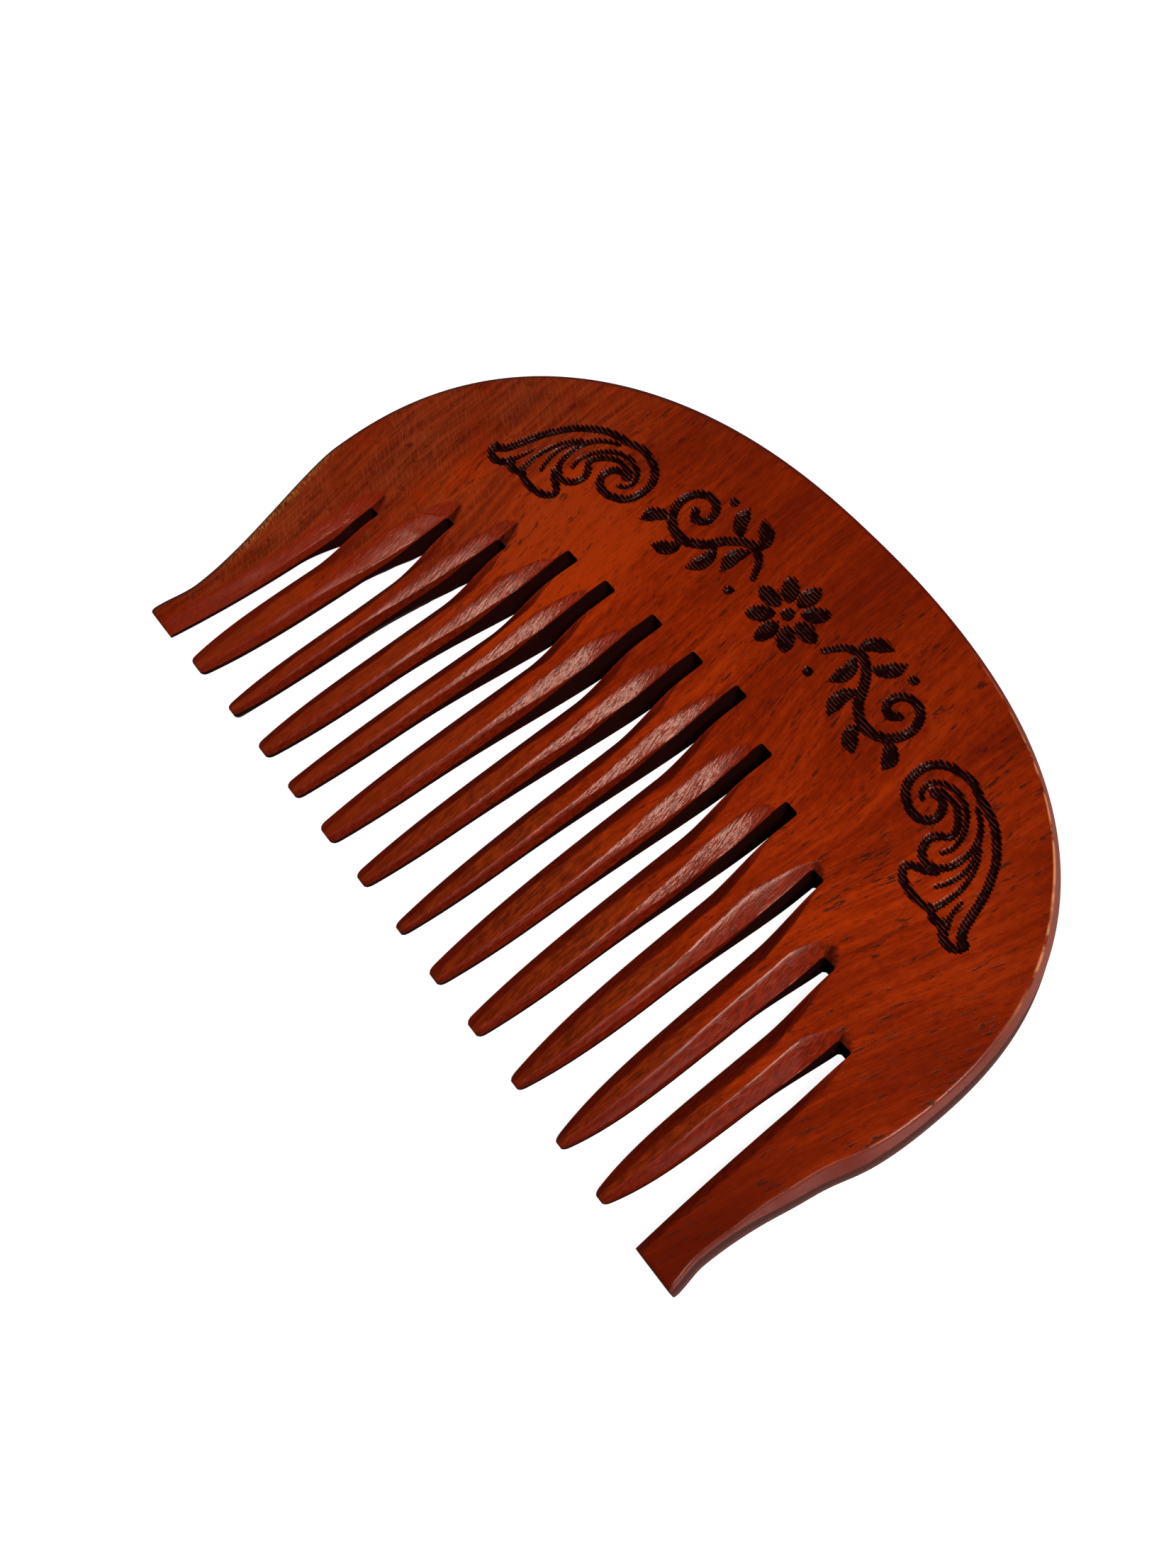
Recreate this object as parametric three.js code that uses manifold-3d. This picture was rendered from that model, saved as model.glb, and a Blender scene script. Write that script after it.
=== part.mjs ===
// A wooden comb sawn and filed from one board: an arched back, a row of filed teeth and a broad guard
// tooth at each end. Lengths are in millimetres. The comb lies flat: X runs along the row of teeth, +Y
// from the tips to the back and +Z up through the board. The origin is under the middle of its box.
import * as THREE from 'three';
import { mergeVertices } from 'three/addons/utils/BufferGeometryUtils.js';
import Module from 'manifold-3d';

// The board and its arched back
const BOARD_THICKNESS = 5.6;
const COMB_HEIGHT = 63.4; // feet of the guard teeth to the top of the arch
const SHOULDER_HEIGHT = 27.4; // feet to the level where the comb is widest
const ARCH_FULLNESS = 2.3; // exponent of the superellipse: 2 is a plain ellipse, more is squarer
const EDGE_CHAMFER = 0.7; // broken edge round the back and down the guard teeth

// The saw kerfs between the teeth
const TOOTH_COUNT = 12; // teeth between the two guard teeth
const TOOTH_PITCH = 6.47; // mean distance from kerf to kerf
const KERF_WIDTH = 1.7;
const KERF_TOP = 41.4; // feet to the end of a kerf in the middle of the comb
const KERF_DROP = 15.5; // how much lower the outermost kerfs end

// How far each hand-sawn kerf strays from its even place, along the comb and in depth
const KERF_DRIFT = [0.3, 0.65, 0.3, 0.4, -0.5, -0.5, -0.8, -1.4, -1.3, -1.4, -1.0, -0.25, 0.3];
const KERF_END_DRIFT = [0, 0.3, -0.8, 1.2, -0.2, -0.3, -0.3, 0.8, -0.3, -0.5, 0.3, -0.3, 0.5];

// The filed teeth
const TIP_SPLAY = 0.13; // how much wider apart the tips lie than the kerfs
const TIP_DRIFT = [-0.6, -0.1, -0.5, -1.2, -1.4, -1.5, -1.3, -1.6, -1.6, -1.3, -0.6, -0.9];
const TIP_WIDTHS = [2.2, 1.4, 1.9, 2.0, 2.4, 1.75, 1.3, 1.85, 2.0, 1.4, 1.15, 1.3];
const TIP_SETBACK = 0.4; // how much shorter the teeth are than the guard teeth
const TIP_THINNING = 2.6; // how much thinner a tip is than the board
const RIDGE_WIDTH = 0.7; // flat land left between the two facets of a face
const EDGE_LAND = 0.7; // height of the blunt side edge where the facets of both faces meet
const FACET_RUN = 13; // length over which the facets grow from the kerf end to their full size
const FACET_START = 0.15; // broken edge of a tooth at its root
const TIP_ROUND = 0.3; // blunt rounding of the tip
const SWELL_SHARE = 0.8; // share of a tooth's widening that comes quickly above the tip
const SWELL_POWER = 4.5; // how quickly it comes

// The guard teeth
const GUARD_ROOT_WIDTH = 9.1; // outermost kerf to the widest point of the comb
const NECK_INSET = 3.6; // how far the neck of a guard tooth lies inside the widest point
const NECK_HEIGHT = 5.4; // feet to the narrowest part of the neck
const FOOT_FLARE = 0.6; // how far the foot turns out again below the neck
const NECK_HOLD = 0.4; // how far up the side the neck stays upright, as a share of its rise
const SHOULDER_HOLD = 0.32; // how far down from the widest point the side stays upright
const FOOT_WIDTHS = [4.0, 4.8]; // left and right
const GUARD_FACET = 2.2; // width of the facet along the inner edge
const FOOT_THINNING = 1.0; // how much thinner a foot is than the board

// Smoothness of the curves, and the places of the sections along a tooth from root to tip
const ARCH_STEPS = 56;
const SIDE_STEPS = 14;
const FOOT_STEPS = 5;
const TOOTH_STATIONS = [1, 0.94, 0.86, 0.77, 0.67, 0.52, 0.37, 0.24, 0.13, 0.05];
const GUARD_STATIONS = [1, 0.93, 0.84, 0.74, 0.62, 0.5, 0.38, 0.28, 0.2, 0.14, 0.09, 0.04];

const wasm = await Module();
wasm.setup();

const lerp = THREE.MathUtils.lerp;
const halfThickness = BOARD_THICKNESS / 2;
const kerfCount = TOOTH_COUNT + 1;
const outerKerf = (TOOTH_COUNT / 2) * TOOTH_PITCH;
const halfWidth = outerKerf + KERF_WIDTH / 2 + GUARD_ROOT_WIDTH;
const neckX = halfWidth - NECK_INSET;

// Kerf k: its left and right wall and the height where it ends, on a parabola plus the hand's drift.
const kerfs = [];
for (let k = 0; k < kerfCount; k += 1) {
  const even = (k - TOOTH_COUNT / 2) * TOOTH_PITCH;
  const middle = even + (KERF_DRIFT[k] ?? 0);
  const end = KERF_TOP - KERF_DROP * (even / outerKerf) ** 2 + (KERF_END_DRIFT[k] ?? 0);
  kerfs.push({ left: middle - KERF_WIDTH / 2, right: middle + KERF_WIDTH / 2, end });
}

// Right side of the comb from the foot up to its widest point: the foot turns out below a concave neck.
function sidePoints() {
  const foot = new THREE.QuadraticBezierCurve(
    new THREE.Vector2(neckX + FOOT_FLARE, 0),
    new THREE.Vector2(neckX, NECK_HEIGHT / 2),
    new THREE.Vector2(neckX, NECK_HEIGHT),
  );
  const rise = SHOULDER_HEIGHT - NECK_HEIGHT;
  const neck = new THREE.CubicBezierCurve(
    new THREE.Vector2(neckX, NECK_HEIGHT),
    new THREE.Vector2(neckX, NECK_HEIGHT + NECK_HOLD * rise),
    new THREE.Vector2(halfWidth, SHOULDER_HEIGHT - SHOULDER_HOLD * rise),
    new THREE.Vector2(halfWidth, SHOULDER_HEIGHT),
  );
  return [...foot.getPoints(FOOT_STEPS), ...neck.getPoints(SIDE_STEPS).slice(1)];
}

// Arch from the right shoulder over the top to the left one, a superellipse.
const archRise = COMB_HEIGHT - SHOULDER_HEIGHT;
function archPoints() {
  const points = [];
  const power = 2 / ARCH_FULLNESS;
  for (let i = 1; i < ARCH_STEPS; i += 1) {
    const angle = (Math.PI * i) / ARCH_STEPS;
    const across = Math.sign(Math.cos(angle)) * Math.abs(Math.cos(angle)) ** power;
    const up = Math.sin(angle) ** power;
    points.push(new THREE.Vector2(halfWidth * across, SHOULDER_HEIGHT + archRise * up));
  }
  return points;
}

const side = sidePoints();

// Half width of the comb at height y: the side curve up to the shoulder, the arch above it.
function sideAt(y) {
  if (y >= SHOULDER_HEIGHT) {
    const up = (y - SHOULDER_HEIGHT) / archRise;
    return halfWidth * (1 - up ** ARCH_FULLNESS) ** (1 / ARCH_FULLNESS);
  }
  const next = side.findIndex((point, i) => i > 0 && point.y >= y);
  const a = side[next - 1];
  const b = side[next];
  return lerp(a.x, b.x, (y - a.y) / (b.y - a.y));
}

// Geometry with only its positions left and the shared corners merged.
function closedGeometry(geometry) {
  geometry.deleteAttribute('normal');
  geometry.deleteAttribute('uv');
  return mergeVertices(geometry, 1e-5);
}

function solidOf(geometry) {
  const merged = closedGeometry(geometry);
  const vertProperties = new Float32Array(merged.attributes.position.array);
  const triVerts = new Uint32Array(merged.index.array);
  return new wasm.Manifold(new wasm.Mesh({ numProp: 3, vertProperties, triVerts }));
}

function geometryOf(solid) {
  const mesh = solid.getMesh();
  const geometry = new THREE.BufferGeometry();
  geometry.setAttribute('position', new THREE.BufferAttribute(new Float32Array(mesh.vertProperties), 3));
  geometry.setIndex(new THREE.BufferAttribute(new Uint32Array(mesh.triVerts), 1));
  geometry.computeVertexNormals();
  return geometry;
}

// Board with the comb's outline and chamfered edges, before the teeth are cut.
function blankSolid() {
  const left = side.map((point) => new THREE.Vector2(-point.x, point.y)).reverse();
  const outline = new THREE.Shape([...side, ...archPoints(), ...left]);
  const geometry = new THREE.ExtrudeGeometry(outline, {
    depth: BOARD_THICKNESS - 2 * EDGE_CHAMFER,
    bevelThickness: EDGE_CHAMFER,
    bevelSize: EDGE_CHAMFER,
    bevelOffset: -EDGE_CHAMFER,
    bevelSegments: 1,
  });
  geometry.translate(0, 0, EDGE_CHAMFER);
  return solidOf(geometry);
}

// Arched back: the part of the board above a line that runs from kerf end to kerf end.
function backGeometry() {
  const beyond = halfWidth + COMB_HEIGHT;
  const line = [new THREE.Vector2(-beyond, kerfs[0].end)];
  for (const kerf of kerfs) {
    line.push(new THREE.Vector2(kerf.left, kerf.end), new THREE.Vector2(kerf.right, kerf.end));
  }
  line.push(new THREE.Vector2(beyond, kerfs[TOOTH_COUNT].end));
  line.push(new THREE.Vector2(beyond, beyond), new THREE.Vector2(-beyond, beyond));
  const above = new THREE.ExtrudeGeometry(new THREE.Shape(line), {
    depth: 2 * BOARD_THICKNESS,
    bevelEnabled: false,
  });
  above.translate(0, 0, -halfThickness);
  return geometryOf(blankSolid().intersect(solidOf(above)));
}

// Closed loft through sections of equally many corners, each turning the same way, with flat ends.
function loftGeometry(sections) {
  const corners = sections[0].length;
  const positions = sections.flat(2);
  const index = [];
  for (let s = 0; s + 1 < sections.length; s += 1) {
    for (let c = 0; c < corners; c += 1) {
      const a = s * corners + c;
      const b = s * corners + ((c + 1) % corners);
      index.push(a, b + corners, b, a, a + corners, b + corners);
    }
  }
  const last = (sections.length - 1) * corners;
  for (let c = 1; c + 1 < corners; c += 1) {
    index.push(0, c, c + 1, last, last + c + 1, last + c);
  }
  const geometry = new THREE.BufferGeometry();
  geometry.setAttribute('position', new THREE.Float32BufferAttribute(positions, 3));
  geometry.setIndex(index);
  geometry.computeVertexNormals();
  return geometry;
}

// Eight-cornered section of a tooth. Each end of it has a place, a height of side wall and a facet width.
function toothSection(left, right, halfDepth) {
  const flat = (x) => lerp(left.y, right.y, (x - left.x) / (right.x - left.x));
  const landLeft = left.x + left.facet;
  const landRight = right.x - right.facet;
  const ring = [
    [landLeft, halfDepth],
    [landRight, halfDepth],
    [right.x, right.wall],
    [right.x, -right.wall],
    [landRight, -halfDepth],
    [landLeft, -halfDepth],
    [left.x, -left.wall],
    [left.x, left.wall],
  ];
  return ring.map(([x, z]) => [x, flat(x), halfThickness + z]);
}

// Growth of the facets with the distance below the kerf end, from 0 at the root to 1, with a soft start.
function facetGrowth(below) {
  return THREE.MathUtils.smoothstep(below, 0, FACET_RUN);
}

// Share of the root width that a tooth keeps beyond its tip width, 0 at the tip and 1 at the root.
function swell(v) {
  return SWELL_SHARE * (1 - (1 - v) ** SWELL_POWER) + (1 - SWELL_SHARE) * v;
}

// The last section of a tooth, drawn in on all sides, closes the blunt tip at the height given.
function tipSection(section, height) {
  const middle = (section[0][0] + section[1][0]) / 2;
  return section.map(([x, , z]) => [
    x - Math.sign(x - middle) * Math.min(TIP_ROUND, Math.abs(x - middle) / 2),
    height,
    z - Math.sign(z - halfThickness) * Math.min(TIP_ROUND, Math.abs(z - halfThickness) / 2),
  ]);
}

// Tooth j stands between kerfs j and j + 1 and is filed to a ridge on both faces.
function toothGeometry(j) {
  const root = { left: kerfs[j].right, right: kerfs[j + 1].left };
  const rootWidth = root.right - root.left;
  const rootMiddle = (root.left + root.right) / 2;
  const tipMiddle = (j - (TOOTH_COUNT - 1) / 2) * (TOOTH_PITCH + TIP_SPLAY) + (TIP_DRIFT[j] ?? 0);
  const tipWidth = TIP_WIDTHS[j] ?? TIP_WIDTHS[0];
  const sections = TOOTH_STATIONS.map((v) => {
    const middle = lerp(tipMiddle, rootMiddle, v);
    const half = lerp(tipWidth, rootWidth, swell(v)) / 2;
    const halfDepth = halfThickness - (TIP_THINNING / 2) * (1 - v) ** 2;
    const fullFacet = half - Math.min(RIDGE_WIDTH / 2, half / 2);
    const flank = (sign, end) => {
      const y = lerp(TIP_SETBACK, end, v);
      const growth = facetGrowth(end - y);
      const fullDrop = halfDepth - Math.min(EDGE_LAND / 2, halfDepth / 2);
      return {
        x: middle + sign * half,
        y,
        facet: lerp(FACET_START, fullFacet, growth),
        wall: halfDepth - lerp(FACET_START, fullDrop, growth),
      };
    };
    return toothSection(flank(-1, kerfs[j].end), flank(1, kerfs[j + 1].end), halfDepth);
  });
  return loftGeometry([...sections, tipSection(sections[sections.length - 1], TIP_SETBACK)]);
}

// Guard tooth: its outer flank follows the comb's outline, its inner one carries a facet like a tooth's.
function guardGeometry(sign) {
  const kerf = sign < 0 ? kerfs[0] : kerfs[TOOTH_COUNT];
  const rootInner = sign < 0 ? kerf.left : kerf.right;
  const footInner = sign * (sideAt(0) - FOOT_WIDTHS[sign < 0 ? 0 : 1]);
  const sections = GUARD_STATIONS.map((v) => {
    const y = kerf.end * v;
    const growth = facetGrowth(kerf.end - y);
    const halfDepth = halfThickness - (FOOT_THINNING / 2) * (1 - v) ** 2;
    const outer = { x: sign * sideAt(y), y, facet: EDGE_CHAMFER, wall: halfDepth - EDGE_CHAMFER };
    const fullDrop = halfDepth - Math.min(EDGE_LAND / 2, halfDepth / 2);
    const inner = {
      x: lerp(footInner, rootInner, v),
      y,
      facet: lerp(FACET_START, GUARD_FACET, growth),
      wall: halfDepth - lerp(FACET_START, fullDrop, growth),
    };
    return sign < 0 ? toothSection(outer, inner, halfDepth) : toothSection(inner, outer, halfDepth);
  });
  return loftGeometry([...sections, tipSection(sections[sections.length - 1], 0)]);
}

const comb = new THREE.Group();
comb.position.y = -COMB_HEIGHT / 2;

// Every region is the same oiled red-brown hardwood, a little darker on the filed teeth.
function addRegion(name, geometry, color) {
  const material = new THREE.MeshStandardMaterial({ color, roughness: 0.45, metalness: 0 });
  const mesh = new THREE.Mesh(geometry, material);
  mesh.name = name;
  comb.add(mesh);
}

addRegion('comb_back', backGeometry(), 0x7a2a0c);
addRegion('guard_tooth_left', guardGeometry(-1), 0x6e240c);
addRegion('guard_tooth_right', guardGeometry(1), 0x6e240c);
for (let j = 0; j < TOOTH_COUNT; j += 1) {
  addRegion(`tooth_${String(j + 1).padStart(2, '0')}`, toothGeometry(j), 0x651d0b);
}

export default comb;
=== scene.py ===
import bmesh
import bpy
import numpy as np
from mathutils import Matrix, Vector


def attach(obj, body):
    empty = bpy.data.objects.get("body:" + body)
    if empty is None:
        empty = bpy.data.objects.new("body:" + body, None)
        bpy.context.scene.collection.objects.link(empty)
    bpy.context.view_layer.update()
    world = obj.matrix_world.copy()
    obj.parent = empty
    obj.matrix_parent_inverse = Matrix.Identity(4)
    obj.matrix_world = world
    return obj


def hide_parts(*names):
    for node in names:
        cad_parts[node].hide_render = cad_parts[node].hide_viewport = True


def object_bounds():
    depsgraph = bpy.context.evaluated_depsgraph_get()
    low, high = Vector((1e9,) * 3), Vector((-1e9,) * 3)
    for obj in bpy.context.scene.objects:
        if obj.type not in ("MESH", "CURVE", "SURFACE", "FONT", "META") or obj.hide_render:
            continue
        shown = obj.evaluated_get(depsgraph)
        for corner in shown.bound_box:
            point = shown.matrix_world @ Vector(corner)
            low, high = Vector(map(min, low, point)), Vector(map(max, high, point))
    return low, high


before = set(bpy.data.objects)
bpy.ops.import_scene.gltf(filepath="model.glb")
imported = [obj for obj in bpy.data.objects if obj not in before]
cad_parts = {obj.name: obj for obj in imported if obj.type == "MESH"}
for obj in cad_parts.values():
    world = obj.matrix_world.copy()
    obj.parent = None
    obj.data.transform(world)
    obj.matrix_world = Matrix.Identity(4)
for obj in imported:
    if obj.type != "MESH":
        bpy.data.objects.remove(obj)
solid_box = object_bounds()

# The back is the upper part of one board of oiled red-brown hardwood, sawn to an arch with its edges broken.
# A leaf scroll at either end, and a flower between two vines, are burnt into its face in fine straight lines.
MM = 0.001
box_low, box_high = (np.array(corner) / MM for corner in solid_box)
half_width = (box_high[0] - box_low[0]) / 2
thickness = box_high[2]
feet = box_low[1]
arch_top = box_high[1] - feet
shoulder = 27.4
neck_and_foot = {
    -1: dict(neck=45.0, neck_height=5.8, lower_pull=13.0, upper_pull=23.0, foot=45.95, hollow=0.0),
    1: dict(neck=45.45, neck_height=4.0, lower_pull=13.6, upper_pull=16.6, foot=46.0, hollow=0.3),
}
hollow_height, hollow_spread = 17, 2.8
arch_base_power = 2.315
arch_power_slope = 0.065
arch_power_right = 0.055
left_break = 0.7
right_break = (0, 8, 12, 19, 24, 28, 50, 56), (0.25, 0.3, 0.75, 1.05, 0.75, 0.62, 0.6, 0.4)
edge_softness = 0.1
far_in = 6
seam_top = 44.0
seam_bend = 0.0078
groove_depth = 0.42
groove_slope = 0.24


def ease(t):
    """A smooth step from 0 to 1: three squares less two cubes of t held between 0 and 1."""
    t = np.clip(t, 0, 1)
    return t * t * (3 - 2 * t)


def side_edge(height, side):
    """Half width on one side: a foot flared as a smooth step, a cubic to the shoulder, less a hollow."""
    cut = neck_and_foot[side]
    t = np.linspace(0, 1, 200)
    rise = ((1 - t) ** 3 * cut["neck_height"] + 3 * (1 - t) ** 2 * t * cut["lower_pull"]
            + 3 * (1 - t) * t**2 * cut["upper_pull"] + t**3 * shoulder)
    reach = cut["neck"] + (half_width - cut["neck"]) * (3 * t**2 - 2 * t**3)
    foot_reach = cut["neck"] + (cut["foot"] - cut["neck"]) * (1 - 3 * t**2 + 2 * t**3)
    heights = np.concatenate([t * cut["neck_height"], rise[1:]])
    hollow = cut["hollow"] * np.exp(-((height - hollow_height) / hollow_spread) ** 2)
    return np.interp(height, heights, np.concatenate([foot_reach, reach[1:]])) - hollow


def arch_power(x):
    """The arch is a superellipse whose power grows a little from the left end to the right."""
    return arch_base_power + arch_power_slope * x / half_width + arch_power_right * ease(x / 30)


def arch_edge(x):
    """Height of the arch: the root of one less x over the half width to the power, times the arch's rise."""
    power = arch_power(x)
    left = 1 - np.minimum(np.abs(x) / half_width, 1) ** power
    return shoulder + (arch_top - shoulder) * left ** (1 / power)


def edge_distance(x, y):
    """Distance in from the edge: across the side below the shoulder, the arch's value over slope above."""
    side_reach = np.where(x < 0, side_edge(y, -1), side_edge(y, 1))
    step = 0.05
    side_next = np.where(x < 0, side_edge(y + step, -1), side_edge(y + step, 1))
    across = (side_reach - np.abs(x)) / np.hypot(1, (side_next - side_reach) / step)
    power = arch_power(x)
    over = np.maximum(np.abs(x) / half_width, 1e-6)
    up = np.maximum((y - shoulder) / (arch_top - shoulder), 1e-6)
    slope = power * np.hypot(over ** (power - 1) / half_width, up ** (power - 1) / (arch_top - shoulder))
    inward = (1 - over**power - up**power) / slope
    return np.clip(np.where(y > shoulder, inward, across), 0, far_in)


def edge_break(x, y):
    """Width of the broken edge: even round the left, narrow round the right, broad below its shoulder."""
    return left_break + (np.interp(y, *right_break) - left_break) * ease((x + 32) / 36)


def edge_drop(x, y):
    """The broken edge: a slope of one in one from the edge to the face, with its upper corner worn round."""
    return edge_softness * np.log1p(np.exp((edge_break(x, y) - edge_distance(x, y)) / edge_softness))


def edge_mark(x, y):
    """Distance in from the edge, counted in widths of the broken edge."""
    return edge_distance(x, y) / edge_break(x, y)


def seam_height(x):
    """Where the back meets the teeth: a parabola just above the ends of the saw cuts."""
    return seam_top - seam_bend * x**2


def pole(side):
    """The point where the seam runs out at the board's edge."""
    heights = np.linspace(20, shoulder, 800)
    y = np.interp(0, heights - seam_height(side_edge(heights, side)), heights)
    return side * side_edge(y, side), y


def stroke(points, widths, fineness=0.07):
    """A stroke's line and half widths: a Catmull-Rom curve through the points, the widths spread along it."""
    p = np.array(points, float)
    p = np.vstack([2 * p[0] - p[1], p, 2 * p[-1] - p[-2]])
    a, b, c, d = (p[k:len(p) - 3 + k, None, :] for k in range(4))
    pieces = int(np.ceil(np.hypot(*np.diff(p, axis=0).T).max() / fineness))
    t = np.linspace(0, 1, pieces, endpoint=False)[None, :, None]
    line = b + 0.5 * t * (c - a + t * (2 * a - 5 * b + 4 * c - d + t * (3 * (b - c) + d - a)))
    line = line.reshape(-1, 2)
    share = np.linspace(0, 1, len(line))
    return line, np.interp(share, np.linspace(0, 1, len(widths)), widths)


# Scroll strokes, for the right end: millimetres across from the comb's middle and up from its feet.
scroll = [
    stroke([(38.9, 40.65), (38.2, 41.0), (37.6, 41.9), (36.5, 45.2), (35.6, 47.0), (34.7, 48.4), (33.5, 49.6),
            (32.2, 50.6), (30.6, 51.3), (29.0, 51.7), (27.6, 52.2), (26.1, 52.15), (24.6, 51.7), (23.5, 50.7),
            (23.1, 49.4), (23.2, 48.0), (23.8, 46.9), (24.7, 46.3), (25.8, 45.9), (26.8, 46.0), (27.6, 46.7),
            (27.75, 47.6), (27.3, 48.5), (26.5, 48.9), (25.8, 48.7)], (0.46, 0.38, 0.40, 0.42, 0.42, 0.40)),
    stroke([(30.8, 45.3), (31.1, 46.3), (30.8, 47.7), (30.1, 48.9), (29.0, 49.9), (27.8, 50.4), (26.4, 50.4),
            (25.3, 49.9), (24.7, 49.0), (24.9, 48.0), (25.5, 47.5)], (0.2, 0.26, 0.26, 0.22)),
    stroke([(29.5, 46.3), (30.1, 47.0), (29.9, 47.9), (29.2, 48.7), (28.2, 49.4), (27.1, 49.6), (26.0, 49.4),
            (25.4, 48.8)], (0.3, 0.36, 0.28, 0.24)),
    stroke([(29.6, 50.8), (30.9, 50.0), (31.8, 49.0), (32.4, 47.6), (32.5, 46.2), (32.3, 44.9), (31.6, 43.9),
            (30.5, 43.5), (29.5, 43.9), (29.0, 44.8), (29.0, 45.7), (29.5, 46.4)], (0.22, 0.28, 0.38, 0.38)),
    stroke([(31.8, 43.6), (31.0, 42.9), (30.0, 42.4), (29.5, 41.8), (29.9, 41.1), (30.8, 40.6), (32.1, 40.45),
            (33.4, 40.5), (34.2, 40.8)], (0.40, 0.36, 0.40, 0.36)),
    stroke([(34.2, 40.8), (35.2, 40.3), (35.9, 40.6), (36.6, 40.1), (37.5, 39.6), (38.3, 39.7), (38.9, 40.2)],
           (0.40, 0.40, 0.42, 0.40)),
    stroke([(32.9, 48.1), (33.8, 46.8), (34.4, 45.3), (34.65, 43.7), (34.6, 42.2), (34.4, 40.9)],
           (0.16, 0.24, 0.3)),
    stroke([(31.6, 49.4), (32.9, 47.6), (33.5, 46.2), (33.6, 44.8), (33.3, 43.4), (32.9, 42.5)],
           (0.22, 0.22, 0.18)),
    stroke([(35.6, 43.4), (35.8, 42.3), (36.1, 41.3), (36.5, 40.6)], (0.14, 0.2, 0.34)),
]

# Vine strokes, for the right half: millimetres across from the flower's middle and up from it.
flower_height = 50.9
leaf = (0.14, 0.72, 0.84, 0.12)
vine = [
    stroke([(5.6, 0), (6.9, 1.9), (8.9, 2.4), (10.8, 0.9), (12.4, -1.4), (14.5, -2.5), (16.8, -1.8),
            (17.9, 0.2), (17.4, 2.2), (15.8, 3.0), (14.4, 2.2), (14.2, 0.8), (15.2, 0.1), (16.0, 0.8)],
           (0.36, 0.56, 0.54, 0.48, 0.50)),
    stroke([(7.7, 2.6), (8.4, 4.2), (10.3, 5.3)], leaf),
    stroke([(10.2, 2.2), (11.6, 3.3), (12.3, 5.1)], leaf),
    stroke([(8.2, 1.9), (8.9, 0.2), (8.5, -1.9)], leaf),
    stroke([(11.2, -0.3), (10.6, -2.3), (11.3, -4.4)], leaf),
    stroke([(14.0, -2.8), (14.4, -4.2), (16.0, -5.2)], leaf),
    stroke([(17.2, -1.9), (18.6, -2.6), (19.2, -4.2)], leaf),
    stroke([(13.9, 4.4), (14.1, 4.5)], (0.5, 0.5)),
    stroke([(6.2, -2.6), (6.3, -2.8)], (0.5, 0.5)),
]
petal_radii = 1.55, 2.7, 4.3
petal = (0.30, 0.72, 0.98, 0.82, 0.18)
petal_turns = np.pi * np.arange(8) / 4
flower = [stroke([(r * np.sin(turn), r * np.cos(turn)) for r in petal_radii], petal) for turn in petal_turns]
flower.append(stroke([(0, -0.05), (0, 0.05)], (0.72, 0.72)))
scroll_mirror = 1.52
scroll_swell = 0.05
stroke_margin = 1.5


def carved_depth(x, y):
    """How far inside the strokes a point lies: the most by which a half width exceeds its distance."""
    drawn = [(line, width + scroll_swell) for line, width in scroll]
    mirrored = [(line * (-1, 1) + (2 * scroll_mirror, 0), width) for line, width in drawn]
    middle = np.array((scroll_mirror, flower_height))
    centred = [(line * (side, 1) + middle, width) for line, width in vine for side in (1, -1)]
    centred += [(line + middle, width) for line, width in flower]
    inside = np.full(x.shape, -1.0)
    for line, width in drawn + mirrored + centred:
        low, high = line.min(axis=0) - stroke_margin, line.max(axis=0) + stroke_margin
        near = (x > low[0]) & (x < high[0]) & (y > low[1]) & (y < high[1])
        gap = np.hypot(x[near][:, None] - line[:, 0], y[near][:, None] - line[:, 1])
        inside[near] = np.maximum(inside[near], (width - gap).max(axis=1))
    return inside


weld_gap = 0.0005
sharp_angle = 38


def board_piece(name, points, faces, marks, finishes, finish_of_face):
    """One closed mesh from points in millimetres above the feet, its marks kept as point attributes."""
    mesh = bpy.data.meshes.new(name)
    mesh.from_pydata((points + (0, feet, 0)) * MM, [], faces.tolist())
    for mark, values in marks.items():
        mesh.attributes.new(mark, "FLOAT", "POINT").data.foreach_set("value", values.astype(np.float32))
    for finish in finishes:
        mesh.materials.append(finish)
    mesh.polygons.foreach_set("material_index", finish_of_face.astype(np.int32))
    knit = bmesh.new()
    knit.from_mesh(mesh)
    bmesh.ops.remove_doubles(knit, verts=knit.verts, dist=weld_gap * MM)
    knit.to_mesh(mesh)
    knit.free()
    mesh.shade_smooth()
    mesh.set_sharp_from_angle(angle=np.radians(sharp_angle))
    piece = bpy.data.objects.new(name, mesh)
    bpy.context.collection.objects.link(piece)
    return piece


def shader_node(tree, kind, inputs, **settings):
    """A node with its settings, each input given as a value or as the socket that feeds it."""
    node = tree.nodes.new(kind)
    for setting, value in settings.items():
        setattr(node, setting, value)
    for socket, value in inputs.items():
        if isinstance(value, bpy.types.NodeSocket):
            tree.links.new(value, node.inputs[socket])
        else:
            node.inputs[socket].default_value = value
    return node


# The wood's turns in degrees, and its colours, painted shade and light among them: the darker and the lighter
# one where there are two.
grain_turn, file_turn, scratch_turn = 4, 17, -27
hatch_rate = 16.8
relief_height = 0.03
wood_depths = (0.145, 0.0088, 0.0006), (0.236, 0.0158, 0.0008), (0.355, 0.0285, 0.0014)
tone_stops = 0.415, 0.5, 0.59
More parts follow.
